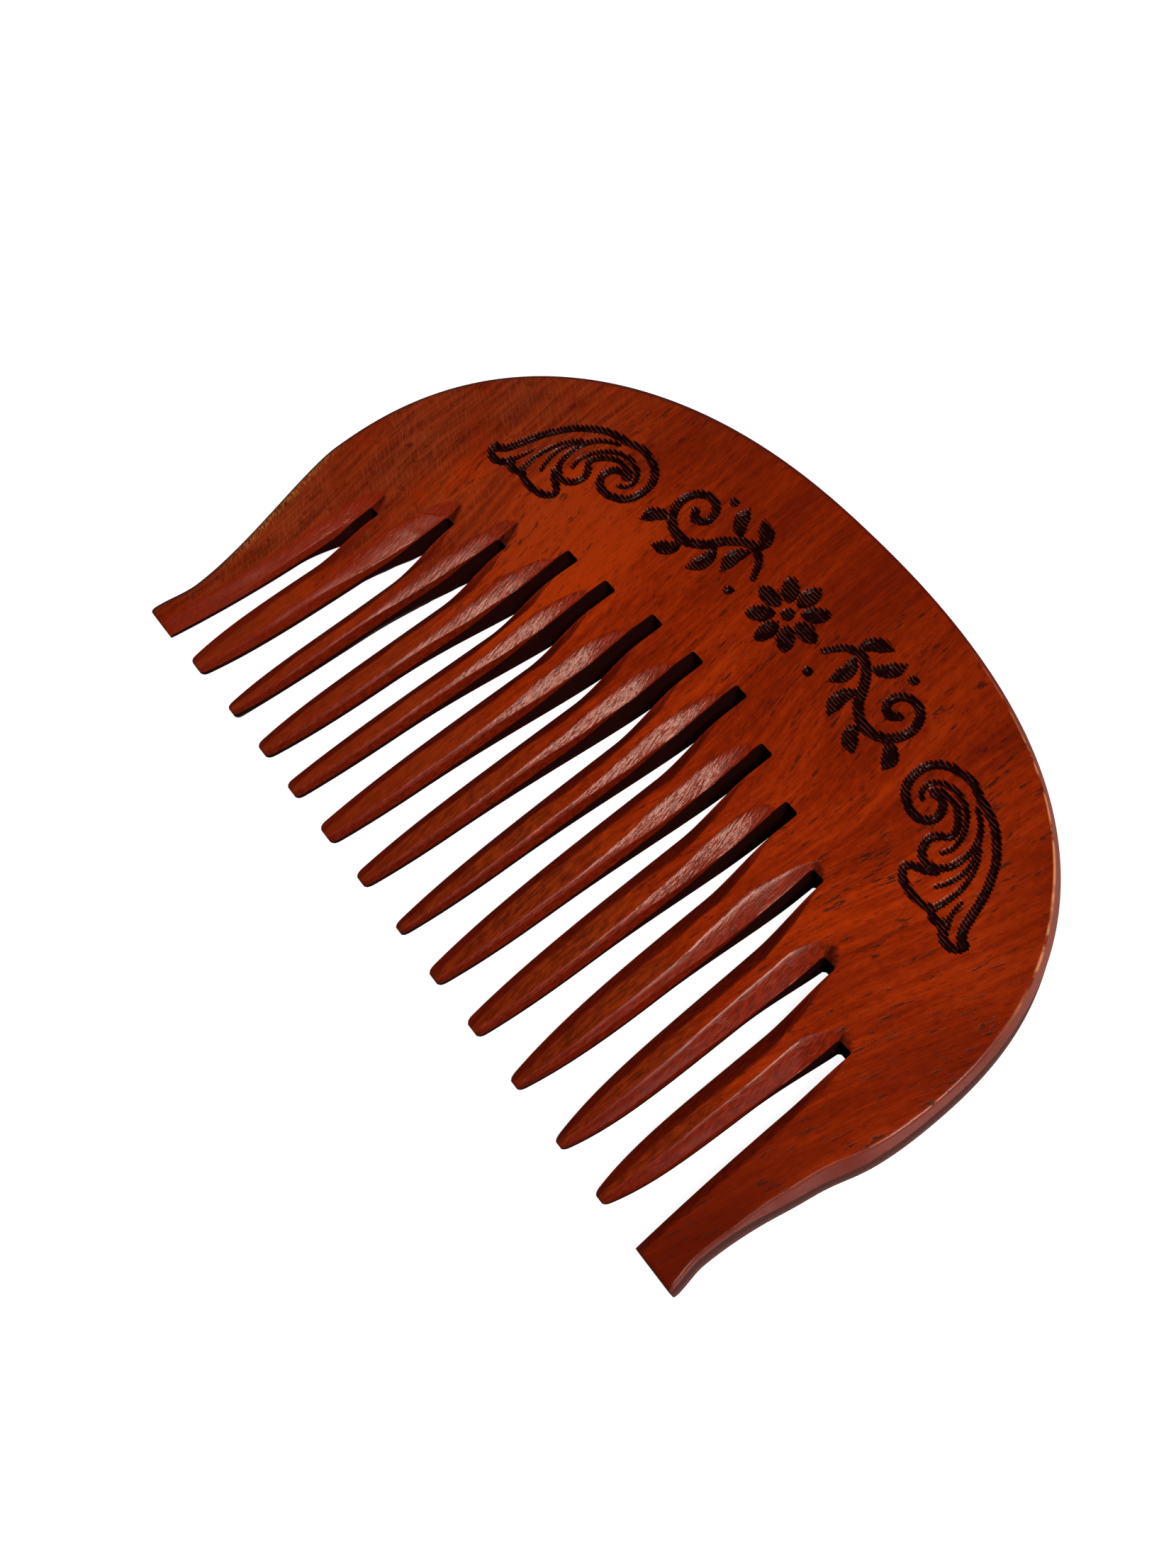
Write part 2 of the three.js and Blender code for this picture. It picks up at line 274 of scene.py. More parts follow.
# Lighter and darker patches of the face: middle, inner and outer radius, and what they add to the tone. The
# first, at the left middle, is a painted sheen of the lamp.
tone_and_sheen_patches = (
    ((-20, 8), 2, 17, 0.085),
    ((39, 12), 2, 13, 0.040),
    ((22, 12), 3, 14, -0.045),
    ((0, 31), 4, 26, -0.030),
)
# Painted shade for the face towards its ends, its top and its lower right.
shade_colour = (0.085, 0.0050, 0.0006)
pore_colour = (0.032, 0.0040, 0.0006)
fleck_colour = (0.06, 0.005, 0.001)
# Scuffed wood of the left end, greyed partly by a painted sheen.
scuff_and_sheen_depths = (0.090, 0.0105, 0.0020), (0.230, 0.0300, 0.0066)
scratch_colour = (0.330, 0.0640, 0.0190)
pit_colour = (0.045, 0.0060, 0.0014)
facet_depths = (0.095, 0.0055, 0.0012), (0.225, 0.0150, 0.0024)
left_facet_colour = (0.230, 0.0160, 0.0034)
# Torn wood in the scoops, darkened with painted shade.
torn_and_shade_depths = (0.016, 0.0020, 0.0006), (0.085, 0.0085, 0.0018)
dust_depths = (0.085, 0.0115, 0.0018), (0.280, 0.0330, 0.0044)
left_dust_colour = (0.290, 0.0270, 0.0042)
lower_colour = (0.085, 0.0046, 0.0010)
# The broken edge: dark filed wood, and for the right a pale pink grey that is a painted reflection of the
# pale table.
rim_and_reflection_depths = (0.110, 0.0058, 0.0014), (0.270, 0.0900, 0.0680)
# Painted light low on the right edge's wall, paling it against its shading.
rim_foot_painted_light = (0.420, 0.1700, 0.1300)
# A painted highlight along the inner corner of the right edge.
rim_highlight_colour = (0.640, 0.2300, 0.1000)
# Painted glints along the left edge.
golden_glint_colour = (0.460, 0.1550, 0.0320)
# The burnt lines: char, and lighter ribs that are partly a painted highlight.
char_depths = (0.0070, 0.0007, 0.0005), (0.110, 0.0240, 0.0140)


def oiled_wood():
    """Red-brown hardwood: bands, fibres and pores along the teeth, filed facets, burnt lines where carved,
    and painted shade and light.
    """
    wood = bpy.data.materials.new("oiled_hardwood")
    wood.use_nodes = True
    tree = wood.node_tree
    surface = tree.nodes["Principled BSDF"]

    def math(kind, first, second=0.0, clamp=False):
        inputs = {0: first, 1: second}
        return shader_node(tree, "ShaderNodeMath", inputs, operation=kind, use_clamp=clamp).outputs[0]

    def ramp(value, low, high, start=0.0, end=1.0):
        inputs = {"Value": value, "From Min": low, "From Max": high, "To Min": start, "To Max": end}
        return shader_node(tree, "ShaderNodeMapRange", inputs, interpolation_type="SMOOTHSTEP").outputs[0]

    def noise(vector, scale, detail, roughness=0.5):
        inputs = {"Vector": vector, "Scale": scale, "Detail": detail, "Roughness": roughness}
        return shader_node(tree, "ShaderNodeTexNoise", inputs).outputs["Fac"]

    def mapped(vector, scale, turn=0.0):
        inputs = {"Vector": vector, "Scale": [1 / s for s in scale], "Rotation": (0, 0, np.radians(turn))}
        return shader_node(tree, "ShaderNodeMapping", inputs, vector_type="TEXTURE").outputs[0]

    def blended(share, under, over, kind="MIX"):
        node = shader_node(tree, "ShaderNodeMix", {"Factor": share}, data_type="RGBA", blend_type=kind)
        for socket, colour in ((node.inputs[6], under), (node.inputs[7], over)):
            if isinstance(colour, bpy.types.NodeSocket):
                tree.links.new(colour, socket)
            else:
                socket.default_value = (*colour, 1)
        return node.outputs[2]

    def near(middle, inner, outer):
        gap = shader_node(tree, "ShaderNodeVectorMath", {0: place, 1: middle}, operation="DISTANCE")
        return ramp(gap.outputs["Value"], outer, inner)

    def mark(name):
        return shader_node(tree, "ShaderNodeAttribute", {}, attribute_name=name).outputs["Fac"]

    place = mapped(tree.nodes.new("ShaderNodeTexCoord").outputs["Object"], (1 / MM,) * 3)
    x, y, z = shader_node(tree, "ShaderNodeSeparateXYZ", {0: place}).outputs
    drift = math("MULTIPLY", math("SUBTRACT", noise(place, 0.03, 1), 0.5), 8.0)
    lean = math("MULTIPLY", ramp(x, 10, 45), math("MULTIPLY", y, -0.32))
    grain_x = math("ADD", math("ADD", x, drift), lean)
    grain = shader_node(tree, "ShaderNodeCombineXYZ", {0: grain_x, 1: y, 2: z}).outputs[0]
    fibre = noise(mapped(grain, (1.0, 0.075, 1.0), grain_turn), 1.5, 8, 0.62)
    band = noise(mapped(grain, (0.16, 0.022, 0.16), grain_turn), 1.0, 3, 0.55)
    patch = noise(mapped(grain, (0.11, 0.06, 0.11), 8), 1.0, 2)
    strand = noise(mapped(grain, (6.5, 0.45, 6.5), grain_turn), 1.0, 3, 0.6)
    crowd = math("ADD", ramp(noise(place, 0.07, 2), 0.42, 0.60), ramp(math("ABSOLUTE", x), 8, 30), clamp=True)
    pore = ramp(noise(mapped(grain, (2.4, 0.42, 2.4), grain_turn), 1.0, 3, 0.6), 0.59, 0.68)
    pore = math("MULTIPLY", pore, math("ADD", math("MULTIPLY", crowd, 0.75), 0.25))
    fleck = ramp(noise(mapped(grain, (4.6, 0.9, 4.6), grain_turn), 1.0, 1), 0.62, 0.72)

    mottle = noise(mapped(grain, (1.6, 0.7, 1.6), 20), 1.0, 4, 0.65)
    tone = math("ADD", math("MULTIPLY", fibre, 0.32), math("MULTIPLY", strand, 0.15))
    tone = math("ADD", tone, math("MULTIPLY", mottle, 0.18))
    tone = math("ADD", tone, math("ADD", math("MULTIPLY", band, 0.19), math("MULTIPLY", patch, 0.16)))
    # The tone patches, among them a painted sheen at the left middle of the face.
    for middle, inner, outer, amount in tone_and_sheen_patches:
        tone = math("ADD", tone, math("MULTIPLY", near((*middle, thickness), inner, outer), amount))
    tones = shader_node(tree, "ShaderNodeValToRGB", {"Fac": tone})
    tones.color_ramp.elements.new(0.5)
    for stop, at, colour in zip(tones.color_ramp.elements, tone_stops, wood_depths):
        stop.position = at
        stop.color = (*colour, 1)
    # The face is darkened with the shade colour towards both ends, the top and the lower right; towards the
    # ends this is painted shade where the light falls off.
    painted_shade_share = math("MULTIPLY", ramp(math("ABSOLUTE", x), 32, 50), 0.36)
    low_right = math("MULTIPLY", ramp(x, 36, 44), ramp(y, -8, -26, 0.0, 0.55))
    painted_shade_share = math("ADD", math("ADD", painted_shade_share, ramp(y, 4, 30, 0.0, 0.38)), low_right, clamp=True)
    colour = blended(painted_shade_share, tones.outputs["Color"], shade_colour)
    colour = blended(math("MULTIPLY", pore, 0.85), colour, pore_colour)
    colour = blended(math("MULTIPLY", fleck, 0.45), colour, fleck_colour)

    # The left end is scratched, scuffed and pitted; its greyer colour is partly worn wood and partly a
    # painted sheen of light on the face.
    scratch = noise(mapped(place, (0.5, 8.0, 8.0), scratch_turn), 1.0, 1.5, 0.5)
    worn_and_sheen = math("MULTIPLY", ramp(x, -10, -44), ramp(noise(place, 0.09, 3), 0.32, 0.6))
    scuffed_and_sheen = blended(ramp(fibre, 0.32, 0.66), *scuff_and_sheen_depths)
    scuffed_and_sheen = blended(ramp(scratch, 0.50, 0.66, 0.0, 0.42), scuffed_and_sheen, scratch_colour)
    pit = ramp(noise(place, 0.75, 1.5), 0.63, 0.70)
    scuffed_and_sheen = blended(math("MULTIPLY", pit, 0.6), scuffed_and_sheen, pit_colour)
    colour = blended(math("MULTIPLY", worn_and_sheen, 0.75), colour, scuffed_and_sheen)

    filed = mark("filed")
    file_mark = noise(mapped(place, (4.2, 0.5, 4.2), file_turn), 1.0, 2.5, 0.5)
    facet = blended(ramp(file_mark, 0.3, 0.7), *facet_depths)
    facet = blended(ramp(x, -24, -40, 0.0, 0.5), facet, left_facet_colour)
    colour = blended(math("MULTIPLY", filed, 0.9), colour, facet)
    # The scoops where the file's run starts are torn wood, painted darker as the shade on their falling side.
    torn_and_shade = blended(ramp(mottle, 0.4, 0.6), *torn_and_shade_depths)
    colour = blended(math("MULTIPLY", mark("scoop"), 0.9), colour, torn_and_shade)
    bare = mark("bare")
    dust = math("ADD", math("MULTIPLY", strand, 0.5), math("MULTIPLY", mottle, 0.5))
    dusty = blended(ramp(dust, 0.40, 0.61), *dust_depths)
    dusty = blended(ramp(x, 2, -14, 0.0, 0.55), dusty, left_dust_colour)
    colour = blended(math("MULTIPLY", bare, 0.75), colour, dusty)
    lower = math("MULTIPLY", ramp(y, -10, -31, 0.0, 0.5), ramp(x, -28, 8, 0.45, 0.75))
    colour = blended(lower, colour, lower_colour)
    edge = mark("edge")
    upper_right = math("MULTIPLY", ramp(x, 12, 36), ramp(y, 4, 15))
    # Round the right the broken edge is paled towards pink grey: a painted reflection of the pale table.
    right_rim_reflection = math("MULTIPLY", ramp(x, 12, 36), ramp(y, 0, 14, 0.35, 1.0))
    rim_colour = blended(right_rim_reflection, *rim_and_reflection_depths)
    # Low on the right edge's wall the colour is painted paler to cancel its shading: painted light.
    painted_light_near_table = math("MULTIPLY", ramp(x, 12, 36), ramp(z, 3.6, 0.8, 0.0, 0.6))
    rim_colour = blended(painted_light_near_table, rim_colour, rim_foot_painted_light)
    colour = blended(ramp(edge, 1.15, 0.8, 0.0, 0.8), colour, rim_colour)
    # A broken pale line along the inner corner of the upper right edge: a painted highlight.
    line = math("MULTIPLY", ramp(edge, 1.5, 1.15), ramp(edge, 0.8, 1.1))
    line = math("MULTIPLY", math("MULTIPLY", line, upper_right), ramp(noise(place, 0.5, 3), 0.38, 0.60))
    colour = blended(line, colour, rim_highlight_colour)
    # Golden dashes near the left edge: painted glints where file marks catch the light.
    glint = ramp(noise(mapped(place, (1.5, 6.5, 6.5), scratch_turn), 1.0, 2), 0.44, 0.62)
    golden_glints = math("MULTIPLY", math("MULTIPLY", ramp(x, -24, -40), ramp(edge, 2.6, 0.6)), glint)
    golden_glints = math("MULTIPLY", golden_glints, math("MULTIPLY", ramp(y, -24, -18), ramp(y, 0, -12)))
    colour = blended(golden_glints, colour, golden_glint_colour)

    carved = mark("carved")
    uneven_y = math("ADD", y, math("MULTIPLY", noise(place, 0.8, 1), 0.14))
    wave = math("SINE", math("MULTIPLY", uneven_y, hatch_rate))
    ragged = math("MULTIPLY", math("SUBTRACT", noise(place, 2.2, 2), 0.5), 0.22)
    depth_in = math("ADD", math("ADD", carved, ragged), math("MULTIPLY", wave, 0.11))
    burnt = ramp(depth_in, -0.03, 0.05)
    # Lighter ribs across the burnt lines, partly a painted highlight along each rib.
    rib_and_highlight = math("MULTIPLY", ramp(wave, -0.70, -1.0), ramp(noise(place, 0.9, 2), 0.42, 0.60))
    char = blended(rib_and_highlight, *char_depths)
    colour = blended(burnt, colour, char)
    tree.links.new(colour, surface.inputs["Base Color"])

    dull = math("ADD", math("MULTIPLY", fibre, 0.14), math("MULTIPLY", pore, 0.2))
    strokes = mark("strokes")
    crack = ramp(noise(mapped(place, (6.5, 1.0, 6.5), file_turn), 1.0, 2, 0.55), 0.46, 0.34)
    crack = math("MULTIPLY", crack, strokes)
    dull = math("ADD", math("ADD", dull, 0.18), math("MULTIPLY", crack, 0.28))
    rough = math("ADD", dull, math("MULTIPLY", burnt, 0.03), clamp=True)
    tree.links.new(rough, surface.inputs["Roughness"])
    surface.inputs["Specular IOR Level"].default_value = 0.18

    ripple = noise(mapped(grain, (1.5, 0.11, 1.5)), 1.0, 2.5, 0.6)
    relief = math("SUBTRACT", math("MULTIPLY", ripple, 0.9), math("MULTIPLY", pore, 0.5))
    relief = math("ADD", relief, math("MULTIPLY", math("MULTIPLY", file_mark, strokes), 2.5))
    relief = math("ADD", relief, math("MULTIPLY", math("MULTIPLY", wave, burnt), 0.2))
    inputs = {"Height": relief, "Strength": 0.55, "Distance": relief_height * MM}
    bump = shader_node(tree, "ShaderNodeBump", inputs)
    tree.links.new(bump.outputs[0], surface.inputs["Normal"])
    return wood


hardwood = oiled_wood()

(left_x, left_y), (right_x, right_y) = pole(-1), pole(1)
end_share = 0.09
run_out = end_share * (np.arange(26) / 26) ** 1.6
column = np.concatenate([run_out, np.linspace(end_share, 1 - end_share, 600), 1 - run_out[::-1]])
row = np.concatenate([np.linspace(0, 0.05, 4), np.linspace(0.05, 0.76, 84)[1:],
                      np.linspace(0.76, 0.94, 8)[1:], np.linspace(0.94, 1, 13)[1:]])[:, None]
around = np.linspace(0, np.pi, 1600)
rise = np.linspace(0, 1, 40)[:-1]
arch_x = -half_width * np.cos(around)
left_rise = left_y + (shoulder - left_y) * rise
right_rise = (right_y + (shoulder - right_y) * rise)[::-1]
rim_x = np.concatenate([-side_edge(left_rise, -1), arch_x, side_edge(right_rise, 1)])
rim_y = np.concatenate([left_rise, arch_edge(arch_x), right_rise])
travel = np.concatenate([[0], np.cumsum(np.hypot(np.diff(rim_x), np.diff(rim_y)))])
rim = np.stack([np.interp(column * travel[-1], travel, rim_x), np.interp(column * travel[-1], travel, rim_y)])
seam_x = left_x + (right_x - left_x) * column
seam = np.stack([seam_x, seam_height(seam_x)])
face_x, face_y = ((1 - row) * seam[k] + row * rim[k] for k in (0, 1))
carved = carved_depth(face_x, face_y)
face_z = thickness - edge_drop(face_x, face_y) - groove_depth * ease(carved / groove_slope)
under_row = np.concatenate([np.linspace(0, 0.94, 7), np.linspace(0.94, 1, 8)[1:]])[:, None]
under_x, under_y = ((1 - under_row) * seam[k] + under_row * rim[k] for k in (0, 1))
under_z = edge_drop(under_x, under_y)


def grid_faces(index):
    """Four-cornered faces of a grid of point numbers, turned to face up."""
    return np.stack([index[:-1, :-1], index[:-1, 1:], index[1:, 1:], index[1:, :-1]], axis=-1).reshape(-1, 4)


face_index = np.arange(face_x.size).reshape(face_x.shape)
under_index = face_x.size + np.arange(under_x.size).reshape(under_x.shape)
outer_wall = grid_faces(np.stack([under_index[-1], face_index[-1]]))[:, ::-1]
seam_wall = grid_faces(np.stack([under_index[0], face_index[0]]))
back_faces = np.concatenate([grid_faces(face_index), grid_faces(under_index)[:, ::-1], outer_wall, seam_wall])
back_points = np.concatenate([np.stack([face_x, face_y, face_z], -1).reshape(-1, 3),
                              np.stack([under_x, under_y, under_z], -1).reshape(-1, 3)])
face_edge, under_edge = edge_mark(face_x, face_y), edge_mark(under_x, under_y)
back_marks = {"carved": np.concatenate([carved.ravel(), np.full(under_x.size, -1.0)]),
              "edge": np.concatenate([face_edge.ravel(), under_edge.ravel()])}
back_marks.update({name: np.zeros(len(back_points)) for name in ("filed", "strokes", "bare", "scoop")})
back = board_piece("carved_back", back_points, back_faces, back_marks, [hardwood], np.zeros(len(back_faces)))
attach(back, "root")
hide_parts("comb_back")

# The row of teeth is the lower part of the same board: thirteen saw cuts leave twelve teeth between two broad
# guard teeth. Each tooth is filed to a ridge on both faces, and above the outer cuts the file's run starts as
# a pointed scoop.
tooth_pitch = 6.47
kerf_width = 1.78
kerf_corner = 0.3
kerf_top = 41.4
kerf_fall = 15.5
kerf_drift = np.array([0.3, 0.65, 0.3, 0.4, -0.5, -0.5, -0.8, -1.4, -1.3, -1.4, -1.0, -0.25, 0.3])
kerf_end_drift = np.array([0, 0.8, -0.5, 1.2, -0.2, -0.3, -0.3, 1.0, 0.1, 0.1, 0.6, -0.3, 0.3])
tip_splay = 0.13
tip_drift = np.array([-0.6, -0.1, -0.5, -1.15, -1.3, -1.4, -1.2, -1.5, -1.5, -1.2, -0.6, -0.9])
tip_widths = np.array([2.2, 1.4, 1.9, 2.0, 2.4, 1.75, 1.3, 1.85, 2.0, 1.4, 1.15, 1.3])
tip_setback = np.array([0.2, 0.3, 0.35, 0.25, 0.3, 0.3, 0.35, 0.2, 0.2, 0.2, 0.1, 0.05])
tip_round = 0.022
tip_fall, tip_fall_power = 1.1, 2.2
tip_rise, tip_rise_power = 1.9, 1.6
tooth_fullness = 5.3
corner_power = 24
foot_widths = {-1: 4.0, 1: 5.0}
tooth_slimness = np.array([0, 0.18, 0.05, -0.02, -0.02, 0.02, 0, -0.03, -0.02, -0.03, 0.07, 0.07])
guard_root = 22.0
guard_fullness = 2.2
guard_round = 0.03
guard_thinning = 0.5
guard_cut_level = {-1: 4.1, 1: 4.2}
guard_under_level, guard_under_width, guard_under_run = 3.6, 3.2, 12
guard_bevel_stations = 0, 3, 12, 26
guard_bevel_widths = 0.05, 0.9, 1.35, 0.9
broken_edge_columns = 0.55, 1.1
edge_level = 3.55
edge_land = 0.3
left_edge_level = np.interp(np.arange(12), (0, 1, 2, 4), (3.9, 3.6, 3.4, 3.1))
ridge_share = np.array([0.86, 0.98, 0.88] + [0.86] * 10)
file_start = np.array([28.0, 33.5, 36.8, 37.4, 37.4, 37.9, 38.9, 40.4, 38.9, 36.4, 36.1, 31.8, 27.1])
flank_width = 2.3
least_flank = 0.2
least_under_flank = 0.12
file_entry = 0.6
filed_blur = 0.15
scoop_blur = 0.06
faint_strokes = 0.2
# Share of the scoop over a saw cut that is torn wood painted with shade.
torn_and_shade_share = 0.9
opening_run = np.array([6, 6, 6, 6, 6, 6, 6, 6, 6, 6, 9, 7, 7])
opening_power = np.array([0.55] * 10 + [1.0] * 3)
flank_slope = np.array([0.40, 0.44, 0.44, 0.45, 0.5, 0.5, 0.5, 0.5, 0.5, 0.5, 0.55, 0.64, 0.68])
entry_slope = np.array([0.85, 0.80, 0.7, 0.55, 0.48, 0.48, 0.48, 0.48, 0.5, 0.5, 1.2, 1.12, 1.08])
stroke_depth = np.array([0.26, 0.3, 0.5, 0.6, 1, 1, 1, 1, 1, 1, 0.5, 0.2, 0.2])
ridge_stays = np.array([0, 0, 0, 0, 0, 0, 0, 0, 0, 0, 0.3, 0.75, 0.75])
ridge_stations = 0, 1, 3, 8, 10, 14, 16, 18, 20, 22, 26, 42
ridge_reaches = np.array((1, 1, 1, 1, 0.95, 0.80, 0.68, 0.60, 0.55, 0.53, 0.52, 0.54))
easy_shares = np.array((0.985, 0.985, 0.985, 0.97, 0.96, 0.93, 0.86, 0.74, 0.63, 0.57, 0.54, 0.52))
bevel_stations = 0, 2, 4, 8, 12, 20, 30
bevel_widths = 0.05, 0.6, 1.35, 2.0, 1.95, 1.6, 1.2
bevel_lag = 3.0
waver_counts, waver_phases, waver_sizes = np.array(((2.7, 5.9), (0.37, 0.61), (0.04, 0.03)))
facet_steps = np.array((0.06, 0.16, 0.34, 0.62, 0.84, 0.94, 1.0))

kerf_place = np.arange(13) - 6
kerf_middle = kerf_place * tooth_pitch + kerf_drift
kerf_end = kerf_top - kerf_fall * (kerf_place / 6) ** 2 + kerf_end_drift
kerf_left, kerf_right = kerf_middle - kerf_width / 2, kerf_middle + kerf_width / 2
tip_middle = (np.arange(12) - 5.5) * (tooth_pitch + tip_splay) + tip_drift
outward = np.minimum((kerf_place / 5) ** 2, 1)
under_lag = 4 - 6.6 * outward + np.array([0.6, 0.8, -0.6, 0.3, 0.2, 0.8, 0.4, 0.1, 0.1, 1.6, 1.8, 0, 0])
under_run, edge_run = 26 - 13 * outward, 14 - 4 * outward
root_reach = np.append(flank_width, ridge_share[1:] * (kerf_left[1:] - kerf_right[:-1]) / 2)
length_row = np.concatenate([np.linspace(0, 0.05, 10), np.linspace(0.05, 0.62, 30)[1:],
                             np.linspace(0.62, 1, 46)[1:]])[:, None]
root_row = np.linspace(0, 1, 16)[1:, None]


def ridge_fall(t, sharpness=0.10):
    """A facet's fall away from its ridge: a hyperbola from 0 at the ridge to 1 at the edge."""
    t = np.clip(t, 0, 1)
    return (np.hypot(t, sharpness) - sharpness) / (np.hypot(1, sharpness) - sharpness)


def flank_reach(below_start, kerf):
    """Width of the file's wide flank: it opens as a round arch below its start, then holds."""
    opened = 1 - (1 - np.clip(below_start / opening_run[kerf], 0, 1)) ** 2
    return least_flank + (root_reach[kerf] - least_flank) * opened ** opening_power[kerf]


def run_slope(below_start, kerf):
    """Fall of the wide flank across its width: the file enters flat and tilts as it runs down."""
    entered = entry_slope[kerf] + (1 - entry_slope[kerf]) * ease(below_start / 7)
    tilted = 1 + (0.45 * ease((below_start - 11) / 8) if kerf == 0 else 0.0)
    return flank_slope[kerf] * entered * tilted * ease(below_start / file_entry)


def filed_face(x, y):
    """Height of the face above the saw cuts' ends, where the file's run starts higher than the cut ends."""
    depth = np.zeros(x.shape)
    for kerf in np.flatnonzero(file_start > kerf_end):
        left, right = kerf_left[kerf], kerf_right[kerf]
        below = file_start[kerf] - y
        reach = flank_reach(below, kerf)
        rising = ridge_fall((x - left + reach) / reach)
        opened = np.clip(below / (file_start[kerf] - kerf_end[kerf]), 0, 1)
        falling = np.clip(1 - (x - left) / (0.4 + (right - left - 0.4) * opened), 0, 1)
        near = (x > left - flank_width - 0.5) & (x < right + 0.5) & (below > 0)
        run = run_slope(below, kerf) * reach
        depth = np.where(near, np.maximum(depth, run * np.minimum(rising, falling)), depth)
    return thickness - depth


def across_lines(*lines):
    """Points across a tooth for every row: seven steps from each of its feature lines to the next."""
    steps = [start + (end - start) * facet_steps for start, end in zip(lines, lines[1:])]
    return np.concatenate([lines[0]] + steps, axis=1)


def right_flank(x, ridge, easy_end, edge, crest, edge_height, below, kerf):
    """The file's run on a tooth's right: an easy flank from the ridge, then a steep side to the edge."""
    easy_fall = np.minimum(run_slope(below, kerf) * (easy_end - ridge), crest - edge_height)
    steep_fall = np.maximum(crest - edge_height - easy_fall, 0) * ease(below / file_entry)
    lower_run = ease((below - 14) / 8)
    rounded = 0.2 + 0.6 * lower_run
    fall = (easy_fall * ridge_fall((x - ridge) / (easy_end - ridge), rounded)
            + steep_fall * ridge_fall((x - easy_end) / (edge - easy_end)))
    filed = ease((x - ridge) / filed_blur) * ease(below / file_entry)
    strokes = filed * stroke_depth[kerf] * (1 - 0.6 * lower_run)
    return fall, filed, strokes * (1 - 0.75 * ease((x - easy_end) / 0.1))


def left_flank(x, edge, bevel_end, ridge, edge_fall, tilt):
    """The file's run on a tooth's left: a steep bevel at the edge, and a slight fall from the ridge to it."""
    slight = np.minimum(tilt * np.maximum(ridge - bevel_end, 0), 0.5 * edge_fall)
    fall = (slight * ridge_fall((ridge - x) / (ridge - bevel_end))
            + (edge_fall - slight) * ridge_fall((bevel_end - x) / (bevel_end - edge)))
    filed = ease((bevel_end - x) / filed_blur)
    return fall, filed, faint_strokes * filed


def swell(power):
    """Widening from tip to root: eight tenths of a power curve and two tenths of a straight line."""
    return 0.8 * (1 - (1 - length_row) ** power) + 0.2 * length_row


def rounded_end(share):
    """Rounding of a tip: a quarter circle over that share of the length, and one above it."""
    return np.sqrt(1 - (1 - np.clip(length_row / share, 0, 1)) ** 2)


def tooth_sheet(number):
    """A filed tooth on a grid of length by width: both faces fall from a ridge to a land at the edges."""
    v = length_row
    left, right = kerf_right[number], kerf_left[number + 1]
    half = (tip_widths[number] + (right - left - tip_widths[number]) * swell(tooth_fullness)) / 2
    half = half * (1 - tooth_slimness[number] * np.sin(np.pi * v))
    middle = tip_middle[number] + ((left + right) / 2 - tip_middle[number]) * v
    tip_turn = rounded_end(tip_round)
    half = half * (0.66 + 0.34 * tip_turn)
    crest = thickness - tip_fall * (1 - v) ** tip_fall_power
    keel = tip_rise * (1 - v) ** tip_rise_power
    kerf = number + 1
    below_left = (kerf_end[number] - tip_setback[number]) * (1 - v)
    below_right = (kerf_end[kerf] - tip_setback[number]) * (1 - v)

    down = kerf_top * (1 - v)
    started = below_right + file_start[kerf] - kerf_end[kerf]
    stays = ridge_stays[kerf]
    shrunk = np.interp(down, ridge_stations, ridge_reaches + (1 - ridge_reaches) * stays)
    turns = 2 * np.pi * (v * waver_counts + number * waver_phases)
    waver = (np.sin(turns) @ waver_sizes)[:, None] * ease(down / 5) * ease(v / 0.1) * (1 - stays)
    reach = np.minimum(flank_reach(started, kerf), half * ridge_share[kerf]) * shrunk * (1 + waver)
    ridge = half - reach
    easy_share = easy_shares + (easy_shares[0] - easy_shares) * stays
    easy_end = ridge + reach * np.interp(down, ridge_stations, easy_share)
    left_start = below_left - (0.0 if file_start[number] > kerf_end[number] else bevel_lag)
    bevel = np.interp(left_start, bevel_stations, bevel_widths) * (1 - 1.3 * waver)
    bevel_end = np.minimum(bevel, 0.72 * (ridge + half)) - half
    x = across_lines(-half, bevel_end, ridge, easy_end, half)

    right_height = crest + (edge_level + edge_land - crest) * ease(started / edge_run[kerf])
    right_height = np.minimum(right_height, crest - run_slope(started, kerf) * reach)
    right_fall, right_filed, right_strokes = right_flank(x, ridge, easy_end, half, crest, right_height,
                                                         started, kerf)
    left_level = left_edge_level[number]
    left_height = left_level + (edge_level + edge_land - left_level) * (1 - v) ** 2
    left_edge_fall = (crest - left_height) * ease(left_start / 9)
    tilt = 0.22 * ease((below_left - 8) / 16)
    left_fall, left_filed, left_strokes = left_flank(x, -half, bevel_end, ridge, left_edge_fall, tilt)
    upper = crest - right_fall - left_fall

    lower = keel + 0 * x
    for side, side_kerf, below, height in ((-1, number, below_left, left_height - edge_land),
                                           (1, kerf, below_right, edge_level - edge_land)):
        rise = ease((below - under_lag[side_kerf]) / under_run[side_kerf])
        under_reach = least_under_flank + (half - 0.2) * rise
        lower = lower + (height - keel) * rise * ridge_fall((side * x - (half - under_reach)) / under_reach)
    upper = edge_level + (upper - edge_level) * (0.6 + 0.4 * tip_turn)
    lower = edge_level + (lower - edge_level) * (0.6 + 0.4 * tip_turn)
    filed = np.maximum(right_filed, left_filed)
    bare = (1 - filed) * ease((0.66 - v) / 0.3)
    end = kerf_end[number] + (kerf_end[kerf] - kerf_end[number]) * (x / half + 1) / 2
    end = end - kerf_corner * np.abs(x / half) ** corner_power
    y = tip_setback[number] + (end - tip_setback[number]) * v
    strokes = np.maximum(right_strokes, left_strokes)
    return middle + x, y, upper, lower, filed, strokes, bare, 0 * x, far_in + 0 * x


